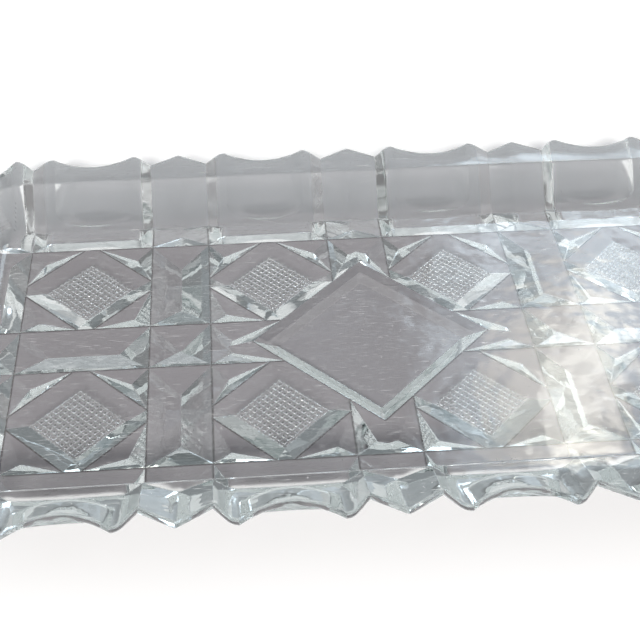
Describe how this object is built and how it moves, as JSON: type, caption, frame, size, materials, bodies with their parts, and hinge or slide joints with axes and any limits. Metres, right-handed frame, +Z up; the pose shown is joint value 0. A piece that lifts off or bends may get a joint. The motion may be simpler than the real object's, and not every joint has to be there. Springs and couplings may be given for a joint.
{
  "type": "crystal tray",
  "caption": "Oblong crystal tray with a smooth inside, low flared walls, a scalloped rim and a pattern of bars, points and diamonds cut into the underside.",
  "frame": {"origin": "centre of the centre diamond's face under the tray, on the surface that the tray stands on", "axes": "+X along the tray's length to the right, +Y across it to the back wall, +Z up"},
  "size_m": [0.3002, 0.1752, 0.024],
  "materials": {
    "crystal": "clear crystal, fire-polished, with a faint grey tint in the thick parts and fine use scratches on the centre diamond"
  },
  "bodies": {
    "root": {"floor": "crystal", "centre_diamond": "crystal", "hobnail_square_1": "crystal", "hobnail_square_2": "crystal", "hobnail_square_3": "crystal", "hobnail_square_4": "crystal", "hobnail_square_5": "crystal", "hobnail_square_6": "crystal", "hobnail_square_7": "crystal", "hobnail_square_8": "crystal", "long_bar_1": "crystal", "long_bar_2": "crystal", "long_bar_3": "crystal", "long_bar_4": "crystal", "cross_bar_1": "crystal", "cross_bar_2": "crystal", "cross_bar_3": "crystal", "cross_bar_4": "crystal", "cross_bar_5": "crystal", "cross_bar_6": "crystal", "cross_point_1": "crystal", "cross_point_2": "crystal", "back_wall": "crystal", "back_wall_left_end": "crystal", "back_wall_right_end": "crystal", "left_wall": "crystal", "left_wall_front_end": "crystal", "left_wall_back_end": "crystal", "front_wall": "crystal", "front_wall_right_end": "crystal", "front_wall_left_end": "crystal", "right_wall": "crystal", "right_wall_back_end": "crystal", "right_wall_front_end": "crystal"}
  },
  "joints": []
}
